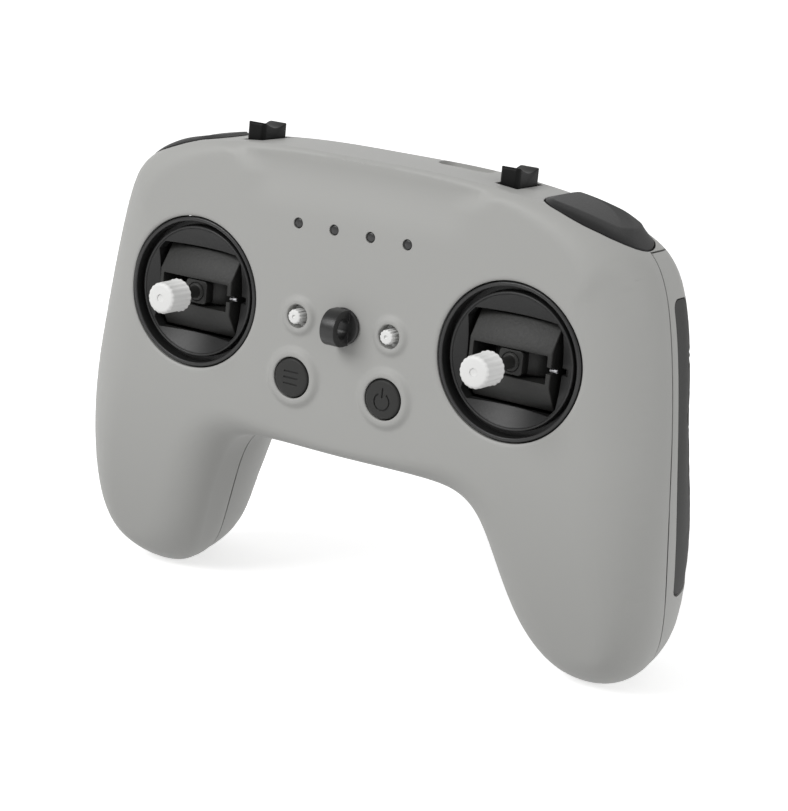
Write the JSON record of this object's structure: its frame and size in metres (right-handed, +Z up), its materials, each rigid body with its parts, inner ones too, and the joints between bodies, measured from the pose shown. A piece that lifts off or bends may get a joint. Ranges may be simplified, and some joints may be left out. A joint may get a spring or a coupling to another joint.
{
  "type": "radio transmitter controller",
  "caption": "Handheld radio controller in a gamepad shell with gimbal sticks, face buttons, top rockers, shoulder buttons and rubber side grips.",
  "frame": {"origin": "on the flat back panel, on the middle plane, level with the axes of the gimbals", "axes": "+X to the right as seen from the front, +Y from the face to the back, +Z up towards the shoulder buttons"},
  "size_m": [0.1572, 0.0642, 0.1166],
  "materials": {
    "shell": "light grey moulded plastic, fine matte texture",
    "grip_rubber": "dark grey soft rubber",
    "black_plastic": "black moulded plastic, satin",
    "dark_plastic": "dark grey moulded plastic, satin",
    "white_plastic": "white moulded plastic, slightly glossy",
    "smoke_plastic": "smoke grey light-pipe plastic",
    "steel": "plated steel",
    "circuit_board": "green solder mask",
    "component_plastic": "black component moulding",
    "battery_wrap": "blue shrink wrap"
  },
  "bodies": {
    "controller": {"front_shell": "shell", "back_shell": "shell", "grip_pad_left": "grip_rubber", "grip_pad_right": "grip_rubber", "gimbal_bezel_left": "black_plastic", "gimbal_bezel_right": "black_plastic", "gimbal_housing_left": "black_plastic", "gimbal_housing_right": "black_plastic", "lanyard_hook": "black_plastic", "light_pipe": "smoke_plastic", "shell_screw_1": "steel", "shell_screw_2": "steel", "shell_screw_3": "steel", "shell_screw_4": "steel", "hook_nut": "steel", "usb_port": "steel", "radio_module": "steel", "gimbal_board_left": "circuit_board", "gimbal_board_right": "circuit_board", "main_board": "circuit_board", "switch_board": "circuit_board", "antenna": "circuit_board", "aux_switch_left": "component_plastic", "aux_switch_right": "component_plastic", "mode_switch": "component_plastic", "power_switch": "component_plastic", "rocker_housing_left": "component_plastic", "rocker_housing_right": "component_plastic", "shoulder_switch_left": "component_plastic", "shoulder_switch_right": "component_plastic", "processor": "component_plastic", "buzzer": "component_plastic", "battery_pack": "battery_wrap"},
    "battery_door": {"battery_door": "shell"},
    "mode_button": {"mode_button": "dark_plastic"},
    "power_button": {"power_button": "dark_plastic"},
    "drum_left": {"gimbal_drum_left": "black_plastic", "gimbal_pin_left": "steel"},
    "stick_left": {"stick_left": "dark_plastic", "stick_end_left": "white_plastic"},
    "aux_button_left": {"aux_button_left": "white_plastic"},
    "rocker_left": {"rocker_left": "black_plastic"},
    "shoulder_left": {"shoulder_button_left": "dark_plastic"},
    "drum_right": {"gimbal_drum_right": "black_plastic", "gimbal_pin_right": "steel"},
    "stick_right": {"stick_right": "dark_plastic", "stick_end_right": "white_plastic"},
    "aux_button_right": {"aux_button_right": "white_plastic"},
    "rocker_right": {"rocker_right": "black_plastic"},
    "shoulder_right": {"shoulder_button_right": "dark_plastic"}
  },
  "joints": [
    {"name": "battery_door_slide", "type": "slide", "parent": "controller", "child": "battery_door", "axis": [0, 0, -1], "range_m": [0, 0.012]},
    {"name": "gimbal_left_up_down", "type": "hinge", "parent": "controller", "child": "drum_left", "pos_m": [-0.043, -0.0155, 0], "axis": [1, 0, 0], "range_deg": [-25, 25]},
    {"name": "gimbal_left_left_right", "type": "hinge", "parent": "drum_left", "child": "stick_left", "pos_m": [-0.043, -0.0155, 0], "axis": [0, 0, 1], "range_deg": [-25, 25]},
    {"name": "rocker_left_tilt", "type": "hinge", "parent": "controller", "child": "rocker_left", "pos_m": [-0.0342, -0.0152, 0.0333], "axis": [1, 0, 0], "range_deg": [-8, 8]},
    {"name": "shoulder_left_press", "type": "slide", "parent": "controller", "child": "shoulder_left", "axis": [0, 0, -1], "range_m": [0, 0.001]},
    {"name": "aux_button_left_press", "type": "slide", "parent": "controller", "child": "aux_button_left", "axis": [0, 1, 0], "range_m": [0, 0.0008]},
    {"name": "gimbal_right_up_down", "type": "hinge", "parent": "controller", "child": "drum_right", "pos_m": [0.043, -0.0155, 0], "axis": [1, 0, 0], "range_deg": [-25, 25]},
    {"name": "gimbal_right_left_right", "type": "hinge", "parent": "drum_right", "child": "stick_right", "pos_m": [0.043, -0.0155, 0], "axis": [0, 0, 1], "range_deg": [-25, 25]},
    {"name": "rocker_right_tilt", "type": "hinge", "parent": "controller", "child": "rocker_right", "pos_m": [0.0342, -0.0152, 0.0333], "axis": [1, 0, 0], "range_deg": [-8, 8]},
    {"name": "shoulder_right_press", "type": "slide", "parent": "controller", "child": "shoulder_right", "axis": [0, 0, -1], "range_m": [0, 0.001]},
    {"name": "aux_button_right_press", "type": "slide", "parent": "controller", "child": "aux_button_right", "axis": [0, 1, 0], "range_m": [0, 0.0008]},
    {"name": "mode_button_press", "type": "slide", "parent": "controller", "child": "mode_button", "axis": [0, 1, 0], "range_m": [0, 0.0008]},
    {"name": "power_button_press", "type": "slide", "parent": "controller", "child": "power_button", "axis": [0, 1, 0], "range_m": [0, 0.0008]}
  ]
}
